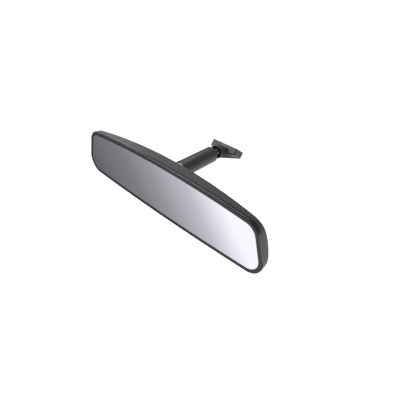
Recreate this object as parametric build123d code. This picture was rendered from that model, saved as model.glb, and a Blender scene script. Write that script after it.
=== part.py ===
from build123d import *
import math
import os

# Interior rearview mirror on a double-ball arm.  Millimetres, +Z up.
# +X is the driver's right and +Y points forward to the windscreen.  The origin is the centre of the
# button seat: the floor of the channel in the mount shoe, which bears on the windscreen's button.

# ---------------------------------------------------------------- driving dimensions
# Where the assemblies lie
WINDSCREEN_ANGLE = 37.0                 # windscreen above the horizontal, degrees
MOUNT_BALL = Vector(0, -28.4, 2.42)     # centre of the ball in the mount end of the arm
BALL_SPACING = 34.5                     # from ball centre to ball centre
ARM_RISE = 2.3                          # arm's climb from the head to the mount, degrees
HEAD_BALL_DEPTH = 33.0                  # head ball centre behind the front of the glass
HEAD_DATUM_RISE = 0.58                  # head's datum height above the head ball

# Head outline, seen from the front, about the head's datum (u sideways, v up)
TOP_CROWN = 17.4                        # top edge at the middle
TOP_CORNER = (117.6, 11.25)             # where the top and side arcs would cross
SIDE_BULGE = (124.84, -14.4)            # middle of the side arc
BOTTOM_CORNER = (131.1, -40.1)          # where the side and bottom arcs would cross
BOTTOM_CROWN = -43.5                    # bottom edge at the middle
CORNER_RADIUS = 16.4

# Housing and bezel
HEAD_DEPTH = 24.2                       # front of the glass to the back wall's deepest line
BACK_CROWN = -13.0                      # height of that line
BACK_LENGTH_RADIUS = 640.0              # the back wall's curve from end to end
BACK_EDGE_RADIUS = 4.0
BACK_BARREL_REACH = 40.0                # how far above and below the crown the barrel goes
BACK_BARREL_FALL = 16.3                 # how far its skin has fallen away there, along a parabola
WALL_DRAFT = 6.0                        # degrees
WALL = 2.2
BOSS_RADIUS = 3.2                       # round each screw inside the housing
STUD_PAD = (36.0, 28.0)                 # thickened wall behind the stud's flange
HOUSING_RIBS = (-66, -51, 51, 66)       # their places along u
HOUSING_RIB = 1.4
CLAMP_SCREW_HOLE = 1.25
CARRIER_SCREW_HOLE = 1.2
BEZEL_WIDTH = 4.0                       # outline to the edge of the glass
BEZEL_PROUD = 0.3                       # bezel's lip in front of the glass
BEZEL_DEPTH = 3.3                       # parting line behind the front of the glass
BEZEL_EDGE_RADIUS = 1.3
BEZEL_LEDGE = 3.2                       # ledge that the glass rests on
SKIRT_DEPTH = 7.0
SKIRT_WALL = 1.3
SKIRT_GAP = 0.1

# Glass and what is behind it
GLASS_THICKNESS = 2.0
GLASS_GAP = 0.15
GLASS_GRIND = 0.35                      # ground edge
FOAM_BACK = 3.3
CARRIER_THICKNESS = 1.8
CARRIER_RIB_HEIGHT = 3.0
CARRIER_SCREW_SPOTS = [(u, v) for u in (-98, -36, 36, 98) for v in (0.5, -29)]
PAD_SPOTS = [(-66, -2), (66, -2), (-66, -27), (66, -27)]

# Ball joints: both balls are alike
BALL_RADIUS = 5.5
NECK_RADIUS = 2.75
SHANK_RADIUS = 4.2
LINER_INNER = 5.58
LINER_OUTER = 6.12
SOCKET_RADIUS = 6.2
MOUTH_ANGLE = 53.0                      # socket's opening, measured from the neck
MOUTH_BORE = 5.25                       # hole round the neck, at the ring's end

# Arm tube
TUBE_BORE = 7.0
TUBE_RADIUS_HEAD = 8.8
TUBE_RADIUS_MOUNT = 8.45
TUBE_PAST_HEAD_BALL = 5.1
TUBE_PAST_MOUNT_BALL = 5.3
HEAD_LIP_BORE = 6.6
HEAD_LIP = 0.8
MOUNT_LIP_BORE = 5.7
MOUNT_LIP = 1.0
SHOULDER_RADIUS = 1.5
SOCKET_FIT = 0.08                       # running clearance of rings and cups in the bore
RING_END_GAP = 0.1                      # between each ring and the lip that keeps it in
RING_FLANGE_RADIUS = 7.2                # the head ring's flange, outside the tube's mouth
RING_FLANGE = 0.9
RING_FLANGE_BORE = 6.0                  # its hole flares to this, clear of the tilted neck
CUP_LENGTH = 8.2
WASHER_THICKNESS = 0.8
SPRING_WIRE = 1.4
SPRING_RADIUS = 5.0
SPRING_TURNS = 4.5

# Head ball stud and its fixing
STUD_SPOT = (0, -HEAD_DATUM_RISE)
BACK_AT_STUD = 22.65                    # depth of the back wall where the stud comes through
STUD_FLANGE = (30.0, 24.0, 2.2)         # width, height, thickness
STUD_FLANGE_DROP = 7.0                  # flange's middle below the stud
STUD_SEAT = 18.6                        # depth of the face that the flange bears on
CLAMP_PLATE = (44.0, 26.0, 1.5)
CLAMP_SCREW_SPOTS = [(u, v) for u in (-18.5, 18.5) for v in (-1.5, -14.5)]

# Mount shoe
PAD_WIDTH = 35.0
PAD_LENGTH = 15.0
PAD_THICKNESS = 7.3
PAD_CORNER = 1.2
CHANNEL_DEPTH = 4.6
CHANNEL_FLOOR_WIDTH = 22.0
CHANNEL_MOUTH_WIDTH = 19.5
CHANNEL_END_WALL = 3.0
COLLAR_RADIUS = 7.1
COLLAR_LENGTH = 2.0
END_BLEND = 4.0                         # how far the collar's blend climbs the pad's upper end
COLLAR_FACE = -16.6                     # the collar's rear face, along Y
COLLAR_RECESS_RADIUS = 6.3
COLLAR_RECESS_DEPTH = 2.6
MOUNT_SHANK_RADIUS = 2.9
MOUNT_SHANK_END = -9.2
SET_SCREW_RADIUS = 1.5
SET_SCREW_OFFSET = 4.6                  # down the windscreen from the seat's centre

# ---------------------------------------------------------------- frames
arm_direction = Vector(0, math.cos(math.radians(ARM_RISE)), math.sin(math.radians(ARM_RISE)))
head_ball = MOUNT_BALL - arm_direction * BALL_SPACING
head_origin = head_ball + Vector(0, -HEAD_BALL_DEPTH, HEAD_DATUM_RISE)

# Head frame: u runs across the head, v up, w back from the front of the glass.
head_place = Plane(origin=head_origin, x_dir=(-1, 0, 0), z_dir=(0, 1, 0)).location
# Arm frame: w runs along the arm from the head ball to the mount ball.
arm_place = Plane(origin=head_ball, x_dir=(1, 0, 0), z_dir=arm_direction).location
# Shoe frame: u across, v down the windscreen, w out through the windscreen, 0 at the button seat.
pad_normal = Vector(
    0, math.sin(math.radians(WINDSCREEN_ANGLE)), math.cos(math.radians(WINDSCREEN_ANGLE))
)
pad_down = Vector(
    0, math.cos(math.radians(WINDSCREEN_ANGLE)), -math.sin(math.radians(WINDSCREEN_ANGLE))
)
shoe_place = Plane(origin=(0, 0, 0), x_dir=(1, 0, 0), z_dir=pad_normal).location
# Stud frame of the mount: w runs forward from the mount ball.
mount_stud_place = Plane(origin=MOUNT_BALL, x_dir=(1, 0, 0), z_dir=(0, 1, 0)).location

parts = {}


# ---------------------------------------------------------------- small helpers
def rod(radius, start, end, spot=(0, 0)):
    """A cylinder along w from start to end."""
    return Pos(spot[0], spot[1], start) * extrude(Circle(radius), amount=end - start)


def block(width, height, start, end, spot=(0, 0), corner=0.0):
    """A box along w from start to end, with rounded corners if corner isn't 0."""
    shape = RectangleRounded(width, height, corner) if corner else Rectangle(width, height)
    return Pos(spot[0], spot[1], start) * extrude(shape, amount=end - start)


def cone(radius_start, radius_end, start, end):
    """A frustum along w from start to end."""
    middle = (start + end) / 2
    return Pos(0, 0, middle) * Cone(radius_start, radius_end, end - start)


def mirrored(solid):
    """The same solid turned end for end about the w = 0 plane."""
    return mirror(solid, about=Plane.XY)


def ring(face_outer, face_inner, start, end):
    """The band between two outlines, along w."""
    outer = Pos(0, 0, start) * extrude(face_outer, amount=end - start)
    inner = Pos(0, 0, start - 1) * extrude(face_inner, amount=end - start + 2)
    return outer - inner


# ---------------------------------------------------------------- head outline and form
def head_outline(inset=0.0):
    """The head's front outline, drawn in by inset."""
    (top_u, top_v), (side_u, side_v), (low_u, low_v) = TOP_CORNER, SIDE_BULGE, BOTTOM_CORNER
    face = make_face([
        ThreePointArc((top_u, top_v), (0, TOP_CROWN), (-top_u, top_v)),
        ThreePointArc((-top_u, top_v), (-side_u, side_v), (-low_u, low_v)),
        ThreePointArc((-low_u, low_v), (0, BOTTOM_CROWN), (low_u, low_v)),
        ThreePointArc((low_u, low_v), (side_u, side_v), (top_u, top_v)),
    ])
    face = fillet(face.vertices(), CORNER_RADIUS)
    return offset(face, amount=-inset) if inset else face


def head_form(inset=0.0):
    """The closed form of the head from the bezel's lip to the back wall, drawn in by inset."""
    walls = Pos(0, 0, -BEZEL_PROUD) * extrude(head_outline(inset), amount=HEAD_DEPTH + 12, taper=WALL_DRAFT)
    form = walls & back_barrel(inset)
    back_edges = form.faces().sort_by(Axis.Z)[-1].edges()
    return fillet(back_edges, BACK_EDGE_RADIUS - inset)


def back_barrel(inset):
    """A barrel that bulges both ways, whose skin is the back wall, drawn in by inset."""
    crown_radius = BACK_LENGTH_RADIUS - inset
    rim_radius = crown_radius - BACK_BARREL_FALL
    low, high = BACK_CROWN - BACK_BARREL_REACH, BACK_CROWN + BACK_BARREL_REACH
    profile = make_face([
        Bezier((rim_radius, low), (2 * crown_radius - rim_radius, BACK_CROWN), (rim_radius, high)),
        Line((rim_radius, high), (0, high)),
        Line((0, high), (0, low)),
        Line((0, low), (rim_radius, low)),
    ])
    return Pos(0, 0, HEAD_DEPTH - inset - crown_radius) * revolve(profile, Axis.Y, 360)


def slab(start, end):
    """Everything between two depths, wider than the head."""
    return block(400, 200, start, end)


# ---------------------------------------------------------------- head
def rear_housing():
    screw_base = FOAM_BACK + CARRIER_THICKNESS
    cavity = head_form(WALL)
    cavity -= block(*STUD_PAD, STUD_SEAT, 40, (0, -STUD_FLANGE_DROP), 3)
    for spot in CLAMP_SCREW_SPOTS:
        cavity -= rod(BOSS_RADIUS, STUD_SEAT - STUD_FLANGE[2], 40, spot)
    for spot in CARRIER_SCREW_SPOTS:
        cavity -= rod(BOSS_RADIUS, screw_base, 40, spot)
    for u in HOUSING_RIBS:
        cavity -= block(HOUSING_RIB, 200, screw_base + CARRIER_RIB_HEIGHT + 1.2, 40, (u, 0))
    shell = (head_form() & slab(BEZEL_DEPTH, 60)) - cavity
    shell -= rod(SHANK_RADIUS + 0.1, 10, 40, STUD_SPOT)
    for spot in CLAMP_SCREW_SPOTS:
        shell -= rod(CLAMP_SCREW_HOLE, 10, BACK_AT_STUD - 2.0, spot)
    for spot in CARRIER_SCREW_SPOTS:
        shell -= rod(CARRIER_SCREW_HOLE, 0, screw_base + 7, spot)
    return shell


def front_bezel():
    rim = extrude(head_outline(), amount=BEZEL_DEPTH + BEZEL_PROUD, taper=WALL_DRAFT)
    rim = Pos(0, 0, -BEZEL_PROUD) * rim
    rim = fillet(rim.faces().sort_by(Axis.Z)[0].edges(), BEZEL_EDGE_RADIUS)
    window = head_outline(BEZEL_WIDTH + BEZEL_LEDGE)
    pocket = head_outline(BEZEL_WIDTH)
    rim -= Pos(0, 0, -5) * extrude(window, amount=20)
    rim -= Pos(0, 0, -5) * extrude(pocket, amount=5 + GLASS_THICKNESS)
    skirt_outside = WALL + SKIRT_GAP + SKIRT_DEPTH * math.tan(math.radians(WALL_DRAFT))
    skirt = ring(
        head_outline(skirt_outside), head_outline(skirt_outside + SKIRT_WALL), BEZEL_DEPTH - 0.6, SKIRT_DEPTH
    )
    return rim + (skirt & head_form(WALL + SKIRT_GAP))


def mirror_glass():
    glass = extrude(head_outline(BEZEL_WIDTH + GLASS_GAP), amount=GLASS_THICKNESS)
    return chamfer(glass.faces().sort_by(Axis.Z)[0].edges(), GLASS_GRIND)


def glass_foam_pad():
    inset = BEZEL_WIDTH + BEZEL_LEDGE + 0.5
    return Pos(0, 0, GLASS_THICKNESS) * extrude(head_outline(inset), amount=FOAM_BACK - GLASS_THICKNESS)


def glass_carrier_plate():
    inset = BEZEL_WIDTH + 1.0
    plate = Pos(0, 0, FOAM_BACK) * extrude(head_outline(inset), amount=CARRIER_THICKNESS)
    back = FOAM_BACK + CARRIER_THICKNESS
    for v in (-8, -20):
        plate += block(190, 1.4, back - 0.5, back + CARRIER_RIB_HEIGHT, (0, v))
    for u in (-80, -20, 20, 80):
        plate += block(1.4, 30, back - 0.5, back + CARRIER_RIB_HEIGHT, (u, -14))
    for spot in CARRIER_SCREW_SPOTS:
        plate -= rod(1.6, 0, 40, spot)
        plate -= Pos(spot[0], spot[1], 0) * cone(3.0, 1.6, FOAM_BACK, FOAM_BACK + 1.4)
    return plate


def rattle_pads():
    back = FOAM_BACK + CARRIER_THICKNESS
    pads = [block(8, 9, back, back + CARRIER_RIB_HEIGHT + 1.2, spot) for spot in PAD_SPOTS]
    return Compound(children=pads)


def carrier_screws():
    screws = []
    for spot in CARRIER_SCREW_SPOTS:
        screw = rod(1.2, FOAM_BACK + 0.5, FOAM_BACK + CARRIER_THICKNESS + 6.5, spot)
        screw += Pos(spot[0], spot[1], 0) * cone(2.9, 1.2, FOAM_BACK + 0.05, FOAM_BACK + 1.3)
        screw -= block(0.7, 3.2, FOAM_BACK, FOAM_BACK + 0.7, spot)
        screw -= block(3.2, 0.7, FOAM_BACK, FOAM_BACK + 0.7, spot)
        screws.append(screw)
    return Compound(children=screws)


def head_ball_stud():
    width, height, thickness = STUD_FLANGE
    stud = Pos(0, 0, HEAD_BALL_DEPTH) * Sphere(BALL_RADIUS)
    stud += rod(NECK_RADIUS, BACK_AT_STUD, HEAD_BALL_DEPTH)
    stud += cone(SHANK_RADIUS, NECK_RADIUS, BACK_AT_STUD + 0.3, BACK_AT_STUD + 1.3)
    stud += rod(SHANK_RADIUS, STUD_SEAT - 1, BACK_AT_STUD + 0.3)
    stud += block(width, height, STUD_SEAT - thickness, STUD_SEAT, (0, -STUD_FLANGE_DROP), 3)
    return Pos(*STUD_SPOT, 0) * stud


def stud_clamp_plate():
    width, height, thickness = CLAMP_PLATE
    front = STUD_SEAT - STUD_FLANGE[2] - thickness
    plate = block(width, height, front, front + thickness, (0, -STUD_FLANGE_DROP - 1), 4)
    plate -= rod(5.0, front - 1, front + thickness + 1, STUD_SPOT)
    for spot in CLAMP_SCREW_SPOTS:
        plate -= rod(1.6, front - 1, front + thickness + 1, spot)
    return plate


def clamp_screws():
    front = STUD_SEAT - STUD_FLANGE[2] - CLAMP_PLATE[2]
    screws = []
    for spot in CLAMP_SCREW_SPOTS:
        screw = rod(1.25, front - 1.5, BACK_AT_STUD - 2.8, spot)
        head = rod(2.7, front - 1.9, front, spot)
        head = fillet(head.faces().sort_by(Axis.Z)[0].edges(), 0.8)
        slots = block(0.7, 3.0, front - 3, front - 1.0, spot) + block(3.0, 0.7, front - 3, front - 1.0, spot)
        screws.append(screw + head - slots)
    return Compound(children=screws)


# ---------------------------------------------------------------- arm
def arm_tube():
    start, end = -TUBE_PAST_HEAD_BALL, BALL_SPACING + TUBE_PAST_MOUNT_BALL
    tube = cone(TUBE_RADIUS_HEAD, TUBE_RADIUS_MOUNT, start, end)
    tube = fillet(tube.faces().sort_by(Axis.Z)[-1].edges(), SHOULDER_RADIUS)
    tube = fillet(tube.faces().sort_by(Axis.Z)[0].edges(), 0.5)
    tube -= rod(TUBE_BORE, start + HEAD_LIP, end - MOUNT_LIP)
    tube -= rod(HEAD_LIP_BORE, start - 1, 0)
    tube -= rod(MOUNT_LIP_BORE, BALL_SPACING, end + 1)
    return tube


def socket_ring(lip_inside):
    """Ring round the neck side of a ball, with w = 0 at the ball and the neck towards -w."""
    mouth_radius = SOCKET_RADIUS * math.sin(math.radians(MOUTH_ANGLE))
    mouth_depth = SOCKET_RADIUS * math.cos(math.radians(MOUTH_ANGLE))
    end = RING_END_GAP - lip_inside
    body = rod(TUBE_BORE - SOCKET_FIT, end, -0.3)
    body -= Sphere(SOCKET_RADIUS)
    return body - cone(MOUTH_BORE, mouth_radius, end - 0.01, -mouth_depth + 0.01)


def ring_flange():
    """The head ring's flange outside the tube, with the sleeve that joins them through the mouth."""
    mouth = -TUBE_PAST_HEAD_BALL
    flange = rod(RING_FLANGE_RADIUS, mouth - RING_END_GAP - RING_FLANGE, mouth - RING_END_GAP)
    flange = fillet(flange.faces().sort_by(Axis.Z)[0].edges(), 0.3)
    sleeve = rod(HEAD_LIP_BORE - 0.15, mouth - 0.5, mouth + HEAD_LIP + 0.5)
    outside = mouth - RING_END_GAP - RING_FLANGE - 0.01
    through = rod(MOUTH_BORE, mouth - 3, mouth + 3) + cone(RING_FLANGE_BORE, MOUTH_BORE, outside, mouth + HEAD_LIP)
    return flange + sleeve - through


def socket_cup():
    """Cup that the spring presses on the ball, with w = 0 at the ball."""
    body = rod(TUBE_BORE - SOCKET_FIT, 0.3, CUP_LENGTH)
    body += rod(SPRING_RADIUS - SPRING_WIRE / 2 - 0.3, CUP_LENGTH - 1, CUP_LENGTH + 2.2)
    return body - Sphere(SOCKET_RADIUS) - rod(1.5, 0, 20)


def ball_liner():
    """Thin friction shell between ball and socket."""
    shell = Sphere(LINER_OUTER) - Sphere(LINER_INNER)
    return shell & rod(10, -2.2, 5.2)


def at_mount_ball(solid):
    """Moves a piece drawn about the head ball to the mount ball, facing the other way."""
    return Pos(0, 0, BALL_SPACING) * mirrored(solid)


def arm_spring():
    start, end = CUP_LENGTH + WASHER_THICKNESS, BALL_SPACING - CUP_LENGTH - WASHER_THICKNESS
    height = end - start - SPRING_WIRE - 0.1
    path = Helix(pitch=height / SPRING_TURNS, height=height, radius=SPRING_RADIUS)
    section = Plane(origin=path @ 0, z_dir=path % 0) * Circle(SPRING_WIRE / 2)
    coil = sweep(section, path=path, is_frenet=True)
    return Pos(0, 0, start + SPRING_WIRE / 2 + 0.05) * coil


def spring_washers():
    washer = rod(TUBE_BORE - 0.2, 0, WASHER_THICKNESS) - rod(SPRING_RADIUS - SPRING_WIRE / 2, -1, 2)
    near = Pos(0, 0, CUP_LENGTH) * washer
    far = Pos(0, 0, BALL_SPACING - CUP_LENGTH - WASHER_THICKNESS) * washer
    return Compound(children=[near, far])


# ---------------------------------------------------------------- mount
def mount_ball_stud():
    front = MOUNT_SHANK_END - MOUNT_BALL.Y
    shoulder = COLLAR_FACE - MOUNT_BALL.Y
    stud = Sphere(BALL_RADIUS) + rod(NECK_RADIUS, 0, shoulder)
    stud += cone(NECK_RADIUS, MOUNT_SHANK_RADIUS + 0.9, shoulder - 1.4, shoulder + 0.6)
    stud += rod(MOUNT_SHANK_RADIUS + 0.9, shoulder + 0.6, shoulder + COLLAR_RECESS_DEPTH)
    return stud + rod(MOUNT_SHANK_RADIUS, shoulder + COLLAR_RECESS_DEPTH - 0.5, front)


def mount_shoe():
    top = CHANNEL_DEPTH
    low = CHANNEL_DEPTH - PAD_THICKNESS
    pad_outline = chamfer(Rectangle(PAD_WIDTH, PAD_LENGTH).vertices(), PAD_CORNER)
    pad = shoe_place * Pos(0, 0, low) * extrude(pad_outline, amount=PAD_THICKNESS)
    collar_plane = Plane(
        origin=(0, COLLAR_FACE + COLLAR_LENGTH, MOUNT_BALL.Z), x_dir=(1, 0, 0), z_dir=(0, 1, 0)
    )
    collar_section = collar_plane * RectangleRounded(
        2 * COLLAR_RADIUS, 2 * COLLAR_RADIUS, COLLAR_RADIUS - 0.1
    )
    pad_plane = shoe_place * Pos(0, 0, low)
    pad_section = pad_plane * RectangleRounded(PAD_WIDTH, PAD_LENGTH, PAD_CORNER)
    flare = loft([collar_section, pad_section])
    end_plane = Plane(
        origin=shoe_place.position + pad_down * (0.5 - PAD_LENGTH / 2) + pad_normal * (low + END_BLEND / 2),
        x_dir=(1, 0, 0), z_dir=pad_down,
    )
    blend = loft([collar_section, end_plane * RectangleRounded(2 * COLLAR_RADIUS, END_BLEND, 1.0)])
    collar = Pos(0, COLLAR_FACE, MOUNT_BALL.Z) * Rot(-90, 0, 0) * rod(COLLAR_RADIUS, 0, COLLAR_LENGTH)
    shoe = pad + flare + blend + collar
    channel_profile = Plane.XZ * Polygon(
        (-CHANNEL_FLOOR_WIDTH / 2, 0),
        (CHANNEL_FLOOR_WIDTH / 2, 0),
        (CHANNEL_MOUTH_WIDTH / 2, CHANNEL_DEPTH + 0.01),
        (-CHANNEL_MOUTH_WIDTH / 2, CHANNEL_DEPTH + 0.01),
        align=None,
    )
    channel = extrude(channel_profile, amount=60, dir=(0, 1, 0))
    shoe -= shoe_place * Pos(0, CHANNEL_END_WALL - PAD_LENGTH / 2, 0) * channel
    front = MOUNT_SHANK_END - MOUNT_BALL.Y
    shoulder = COLLAR_FACE - MOUNT_BALL.Y
    shoe -= mount_stud_place * rod(COLLAR_RECESS_RADIUS, shoulder - 1, shoulder + COLLAR_RECESS_DEPTH)
    shoe -= mount_stud_place * rod(MOUNT_SHANK_RADIUS, shoulder, front)
    return shoe - shoe_place * rod(SET_SCREW_RADIUS, -30, 1, (0, SET_SCREW_OFFSET))


def shoe_set_screw():
    screw = rod(SET_SCREW_RADIUS, -7.0, -0.1, (0, SET_SCREW_OFFSET))
    socket = RegularPolygon(1.15, 6)
    return screw - Pos(0, SET_SCREW_OFFSET, -7.5) * extrude(socket, amount=2.8)


# ---------------------------------------------------------------- assembly
for maker in (
    rear_housing, front_bezel, mirror_glass, glass_foam_pad, glass_carrier_plate, rattle_pads,
    carrier_screws, head_ball_stud, stud_clamp_plate, clamp_screws,
):
    parts[maker.__name__] = head_place * maker()

for maker in (arm_tube, arm_spring, spring_washers):
    parts[maker.__name__] = arm_place * maker()

parts["head_socket_ring"] = arm_place * (socket_ring(TUBE_PAST_HEAD_BALL - HEAD_LIP) + ring_flange())
parts["head_socket_cup"] = arm_place * socket_cup()
parts["head_ball_liner"] = arm_place * ball_liner()
parts["mount_socket_ring"] = arm_place * at_mount_ball(socket_ring(TUBE_PAST_MOUNT_BALL - MOUNT_LIP))
parts["mount_socket_cup"] = arm_place * at_mount_ball(socket_cup())
parts["mount_ball_liner"] = arm_place * at_mount_ball(ball_liner())

parts["mount_ball_stud"] = mount_stud_place * mount_ball_stud()
parts["mount_shoe"] = mount_shoe()
parts["shoe_set_screw"] = shoe_place * shoe_set_screw()

os.makedirs("parts", exist_ok=True)
for name, solid in parts.items():
    export_step(solid, f"parts/{name}.step")
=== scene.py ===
import math

import bpy
from mathutils import Matrix, Vector


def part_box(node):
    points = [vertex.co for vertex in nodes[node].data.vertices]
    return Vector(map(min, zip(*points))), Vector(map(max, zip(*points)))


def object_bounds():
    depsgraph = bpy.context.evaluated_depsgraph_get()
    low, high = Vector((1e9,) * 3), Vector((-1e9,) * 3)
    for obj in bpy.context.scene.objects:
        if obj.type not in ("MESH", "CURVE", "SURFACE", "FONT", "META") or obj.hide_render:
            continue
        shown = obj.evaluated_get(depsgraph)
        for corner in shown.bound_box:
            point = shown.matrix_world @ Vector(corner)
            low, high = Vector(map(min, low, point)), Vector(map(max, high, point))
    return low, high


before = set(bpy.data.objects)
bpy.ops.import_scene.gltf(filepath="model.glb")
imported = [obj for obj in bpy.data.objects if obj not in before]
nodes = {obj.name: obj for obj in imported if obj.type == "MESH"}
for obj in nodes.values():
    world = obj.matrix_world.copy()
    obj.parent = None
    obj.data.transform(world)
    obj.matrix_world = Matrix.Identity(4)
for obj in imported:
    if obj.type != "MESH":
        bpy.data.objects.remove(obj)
cad_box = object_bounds()

# ---------------------------------------------------------------- places, in metres
glass_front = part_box("mirror_glass")[0].y

# ---------------------------------------------------------------- camera
CAMERA_AZIMUTH = math.radians(44.52)
CAMERA_ELEVATION = math.radians(34.58)
CAMERA_ROLL = math.radians(1.52)
CAMERA_DISTANCE = 0.3249
CAMERA_LENS = 33.98                     # millimetres, on a 36 mm sensor
CAMERA_AIM = Vector((0.0554, glass_front, 0.0053))


def make_camera():
    """The camera stands to the driver's right, above the mirror, and looks down at its face."""
    az, el = CAMERA_AZIMUTH, CAMERA_ELEVATION
    away = Vector((math.sin(az) * math.cos(el), -math.cos(az) * math.cos(el), math.sin(el)))
    right = Vector((math.cos(az), math.sin(az), 0))
    up = away.cross(right)
    c, s = math.cos(CAMERA_ROLL), math.sin(CAMERA_ROLL)
    rolled_right = right * c + up * s
    rolled_up = up * c - right * s
    turn = Matrix((rolled_right, rolled_up, away)).transposed().to_4x4()
    data = bpy.data.cameras.new("camera")
    data.lens = CAMERA_LENS
    data.sensor_width = 36
    data.clip_start = 0.01
    camera = bpy.data.objects.new("camera", data)
    camera.matrix_world = Matrix.Translation(CAMERA_AIM + away * CAMERA_DISTANCE) @ turn
    bpy.context.scene.collection.objects.link(camera)
    bpy.context.scene.camera = camera


# ---------------------------------------------------------------- materials
NOISE_LOW, NOISE_HIGH = 0.3, 0.7        # nearly all of a noise texture's values lie between
TONE_CELLS = 45                         # cells a metre of the slow colour change
WEAR_CELLS = 160                        # and of the uneven roughness
ROUGHNESS_SPREAD = 0.05                 # roughness varies by this much each way
GRIND_COLOUR = (0.42, 0.45, 0.46, 1)
GRIND_ROUGHNESS = 0.5
SILVER_COLOUR = (0.86, 0.87, 0.90, 1)
SILVER_ROUGHNESS = 0.02


def new_material(name):
    material = bpy.data.materials.new(name)
    material.use_nodes = True
    tree = material.node_tree
    return material, tree, tree.nodes["Principled BSDF"]


def noise(tree, scale, detail):
    """Noise in the piece's own coordinates, with scale in cells a metre."""
    coords = tree.nodes.new("ShaderNodeTexCoord")
    texture = tree.nodes.new("ShaderNodeTexNoise")
    texture.inputs["Scale"].default_value = scale
    texture.inputs["Detail"].default_value = detail
    tree.links.new(coords.outputs["Object"], texture.inputs["Vector"])
    return texture.outputs["Fac"]


def spread(tree, value, low, high):
    """Maps a noise value to the range from low to high."""
    node = tree.nodes.new("ShaderNodeMapRange")
    node.inputs["From Min"].default_value = NOISE_LOW
    node.inputs["From Max"].default_value = NOISE_HIGH
    node.inputs["To Min"].default_value = low
    node.inputs["To Max"].default_value = high
    tree.links.new(value, node.inputs["Value"])
    return node.outputs["Result"]


def two_tones(tree, value, dark, light):
    """Blends two colours by a noise value."""
    node = tree.nodes.new("ShaderNodeMix")
    node.data_type = "RGBA"
    node.inputs["A"].default_value = (*dark, 1)
    node.inputs["B"].default_value = (*light, 1)
    tree.links.new(spread(tree, value, 0, 1), node.inputs["Factor"])
    return node.outputs["Result"]


def bump(tree, value, depth, strength):
    """Surface relief of that depth in metres."""
    node = tree.nodes.new("ShaderNodeBump")
    node.inputs["Distance"].default_value = depth
    node.inputs["Strength"].default_value = strength
    tree.links.new(value, node.inputs["Height"])
    return node.outputs["Normal"]


def moulded(
    name, dark, light, roughness,
    grain=2600, depth=0.00006, strength=0.25, metallic=0.0, specular=0.5,
):
    """A moulded, cast or coated surface: fine grain, slow colour change, uneven roughness."""
    material, tree, shader = new_material(name)
    tree.links.new(two_tones(tree, noise(tree, TONE_CELLS, 3), dark, light), shader.inputs["Base Color"])
    wear = noise(tree, WEAR_CELLS, 4)
    rough = spread(tree, wear, roughness - ROUGHNESS_SPREAD, roughness + ROUGHNESS_SPREAD)
    tree.links.new(rough, shader.inputs["Roughness"])
    tree.links.new(bump(tree, noise(tree, grain, 2), depth, strength), shader.inputs["Normal"])
    shader.inputs["Metallic"].default_value = metallic
    shader.inputs["Specular IOR Level"].default_value = specular
    return material


# How squarely a face of the glass looks out of the head: the ground edge less than the first, the
# mirror more than the second.
GROUND_EDGE_FACING = 0.8
SILVER_FACING = 0.95


def silvered_glass():
    """Silvered flat glass: a mirror on its faces, frosted where its edge is ground."""
    material, tree, shader = new_material("silvered_glass")
    coords = tree.nodes.new("ShaderNodeTexCoord")
    parts = tree.nodes.new("ShaderNodeSeparateXYZ")
    tree.links.new(coords.outputs["Normal"], parts.inputs["Vector"])
    silver = tree.nodes.new("ShaderNodeMapRange")
    silver.inputs["From Min"].default_value = -GROUND_EDGE_FACING
    silver.inputs["From Max"].default_value = -SILVER_FACING
    tree.links.new(parts.outputs["Y"], silver.inputs["Value"])
    colour = tree.nodes.new("ShaderNodeMix")
    colour.data_type = "RGBA"
    colour.inputs["A"].default_value = GRIND_COLOUR
    colour.inputs["B"].default_value = SILVER_COLOUR
    tree.links.new(silver.outputs["Result"], colour.inputs["Factor"])
    tree.links.new(colour.outputs["Result"], shader.inputs["Base Color"])
    tree.links.new(silver.outputs["Result"], shader.inputs["Metallic"])
    rough = tree.nodes.new("ShaderNodeMapRange")
    rough.inputs["To Min"].default_value = GRIND_ROUGHNESS
    rough.inputs["To Max"].default_value = SILVER_ROUGHNESS
    tree.links.new(silver.outputs["Result"], rough.inputs["Value"])
    tree.links.new(rough.outputs["Result"], shader.inputs["Roughness"])
    return material


def paint(node, material):
    piece = nodes[node]
    piece.data.materials.clear()
    piece.data.materials.append(material)


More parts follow.
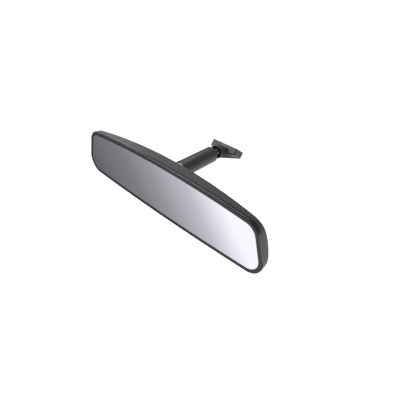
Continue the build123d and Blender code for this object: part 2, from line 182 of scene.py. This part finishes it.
def make_materials():
    housing = moulded("housing_plastic", (0.033, 0.033, 0.034), (0.041, 0.041, 0.042), 0.48)
    bezel = moulded(
        "bezel_plastic", (0.010, 0.010, 0.011), (0.013, 0.013, 0.014), 0.30, strength=0.1, specular=0.45,
    )
    arm = moulded("arm_paint", (0.028, 0.028, 0.029), (0.034, 0.034, 0.035), 0.40)
    shoe = moulded("shoe_paint", (0.020, 0.020, 0.021), (0.026, 0.026, 0.027), 0.42)
    ball = moulded("ball_steel", (0.020, 0.020, 0.021), (0.030, 0.030, 0.031), 0.38)
    black_steel = moulded("black_steel", (0.05, 0.05, 0.05), (0.07, 0.07, 0.07), 0.4, metallic=1.0)
    zinc = moulded("zinc_steel", (0.55, 0.55, 0.53), (0.66, 0.66, 0.64), 0.33, metallic=1.0)
    spring = moulded("spring_steel", (0.44, 0.44, 0.44), (0.52, 0.52, 0.52), 0.3, metallic=1.0)
    acetal = moulded("white_acetal", (0.80, 0.80, 0.77), (0.88, 0.88, 0.86), 0.35, strength=0.1)
    carrier = moulded("carrier_plastic", (0.03, 0.03, 0.03), (0.035, 0.035, 0.035), 0.5)
    foam = moulded("foam", (0.045, 0.045, 0.045), (0.06, 0.06, 0.06), 0.9, grain=1500, depth=0.0003)
    glass = silvered_glass()
    finishes = {
        "rear_housing": housing, "front_bezel": bezel, "mirror_glass": glass, "glass_foam_pad": foam,
        "glass_carrier_plate": carrier, "rattle_pads": foam, "carrier_screws": zinc,
        "head_ball_stud": ball, "stud_clamp_plate": zinc, "clamp_screws": zinc, "arm_tube": arm,
        "arm_spring": spring, "spring_washers": zinc, "head_socket_ring": acetal,
        "head_socket_cup": acetal, "head_ball_liner": acetal, "mount_socket_ring": acetal,
        "mount_socket_cup": acetal, "mount_ball_liner": acetal, "mount_ball_stud": ball,
        "mount_shoe": shoe, "shoe_set_screw": black_steel,
    }
    for node, material in finishes.items():
        paint(node, material)


# ---------------------------------------------------------------- studio
FLOOR_DROP = 0.45                       # below the object
FLOOR_REACH = 60.0                      # each way, so that its edge is far away
FLAG_DROP = 0.10                        # below the object
FLAG_REACH = 0.40                       # each way along X
FLAG_AHEAD = 0.06                       # in front of the glass
FLAG_END = -0.02                        # along Y, short of the shoe
CARD_AHEAD = 0.26                       # in front of the glass
CARD_LEFT, CARD_RIGHT = -0.95, 0.12
CARD_LOW, CARD_HIGH = -0.42, -0.08

# The reflected card's brightness at each place along X, dark at the driver's left.
CARD_TONES = ((-0.65, 0.14), (-0.44, 0.24), (-0.33, 0.36), (-0.20, 0.60), (-0.09, 1.10))
CARD_TINT = (0.985, 0.975, 1.04)
CARD_TILT = 0.8                         # how far the tones lean, along X for each metre of height
CARD_MIDDLE = -0.286                    # height at which they lie at the places above

# Each light's name, place, aim, size and watts.
LIGHTS = (
    ("key", (-0.31, 0.02, 0.16), (-0.10, -0.08, 0), 0.16, 0.16),
    ("top", (-0.30, 0.10, 0.75), (0, -0.05, 0), 0.6, 4.6),
    ("edge", (-0.50, -0.55, 0.50), (0, -0.09, 0), 0.3, 2.4),
    ("side", (0.55, -0.10, -0.12), (0.05, -0.03, 0), 0.25, 1.1),
)


def area_light(name, place, aim, size, watts):
    data = bpy.data.lights.new(name, "AREA")
    data.shape = "RECTANGLE"
    data.size = data.size_y = size
    data.energy = watts
    lamp = bpy.data.objects.new(name, data)
    lamp.location = place
    lamp.visible_camera = False
    lamp.rotation_euler = (Vector(aim) - Vector(place)).to_track_quat("-Z", "Y").to_euler()
    bpy.context.scene.collection.objects.link(lamp)


def flat_sheet(name, corners):
    """A sheet of one face between four corners, with a material of its own."""
    mesh = bpy.data.meshes.new(name)
    mesh.from_pydata(corners, [], [(0, 1, 2, 3)])
    sheet = bpy.data.objects.new(name, mesh)
    bpy.context.scene.collection.objects.link(sheet)
    material, tree, shader = new_material(name)
    mesh.materials.append(material)
    return sheet, tree, shader


def make_floor():
    """A plain white floor, lit enough to be the background."""
    side = FLOOR_REACH
    low = cad_box[0].z - FLOOR_DROP
    corners = [(-side, -side, low), (side, -side, low), (side, side, low), (-side, side, low)]
    floor, _, shader = flat_sheet("floor", corners)
    shader.inputs["Base Color"].default_value = (0.85, 0.85, 0.85, 1)
    shader.inputs["Roughness"].default_value = 0.9
    shader.inputs["Emission Color"].default_value = (1, 1, 1, 1)
    shader.inputs["Emission Strength"].default_value = 0.85


def make_gradient_card():
    """A hanging card, dark at one end and white at the other, that the glass reflects."""
    y = glass_front - CARD_AHEAD
    left, right, low, high = CARD_LEFT, CARD_RIGHT, CARD_LOW, CARD_HIGH
    corners = [(left, y, low), (right, y, low), (right, y, high), (left, y, high)]
    card, tree, shader = flat_sheet("gradient_card", corners)
    coords = tree.nodes.new("ShaderNodeTexCoord")
    along = tree.nodes.new("ShaderNodeVectorMath")
    along.operation = "DOT_PRODUCT"
    along.inputs[1].default_value = (1, 0, CARD_TILT)
    tree.links.new(coords.outputs["Object"], along.inputs[0])
    ramp = tree.nodes.new("ShaderNodeMapRange")
    ramp.inputs["From Min"].default_value = left + CARD_TILT * CARD_MIDDLE
    ramp.inputs["From Max"].default_value = right + CARD_TILT * CARD_MIDDLE
    tree.links.new(along.outputs["Value"], ramp.inputs["Value"])
    colours = tree.nodes.new("ShaderNodeValToRGB")
    stops = colours.color_ramp.elements
    stops[0].position = (CARD_TONES[0][0] - left) / (right - left)
    stops[1].position = (CARD_TONES[-1][0] - left) / (right - left)
    for x, _ in CARD_TONES[1:-1]:
        stops.new((x - left) / (right - left))
    for stop, (x, tone) in zip(stops, CARD_TONES):
        stop.color = (*(tone * part for part in CARD_TINT), 1)
    tree.links.new(ramp.outputs["Result"], colours.inputs["Fac"])
    shader.inputs["Base Color"].default_value = (0, 0, 0, 1)
    shader.inputs["Specular IOR Level"].default_value = 0
    tree.links.new(colours.outputs["Color"], shader.inputs["Emission Color"])
    shader.inputs["Emission Strength"].default_value = 1.0
    card.visible_camera = False
    card.visible_shadow = False


def make_flag():
    """A black card under the mirror, which keeps the floor's light off its underside."""
    low = cad_box[0].z - FLAG_DROP
    near, far, side = glass_front - FLAG_AHEAD, FLAG_END, FLAG_REACH
    corners = [(-side, near, low), (side, near, low), (side, far, low), (-side, far, low)]
    flag, _, shader = flat_sheet("flag", corners)
    shader.inputs["Base Color"].default_value = (0.02, 0.02, 0.02, 1)
    shader.inputs["Roughness"].default_value = 0.9
    flag.visible_camera = False
    flag.visible_shadow = False


def make_studio():
    make_floor()
    make_gradient_card()
    make_flag()
    world = bpy.data.worlds.new("world")
    bpy.context.scene.world = world
    world.use_nodes = True
    background = world.node_tree.nodes["Background"]
    background.inputs["Color"].default_value = (0.95, 0.96, 1.0, 1)
    background.inputs["Strength"].default_value = 0.28
    for light in LIGHTS:
        area_light(*light)
    bpy.context.scene.view_settings.view_transform = "Standard"


make_camera()
make_materials()
make_studio()
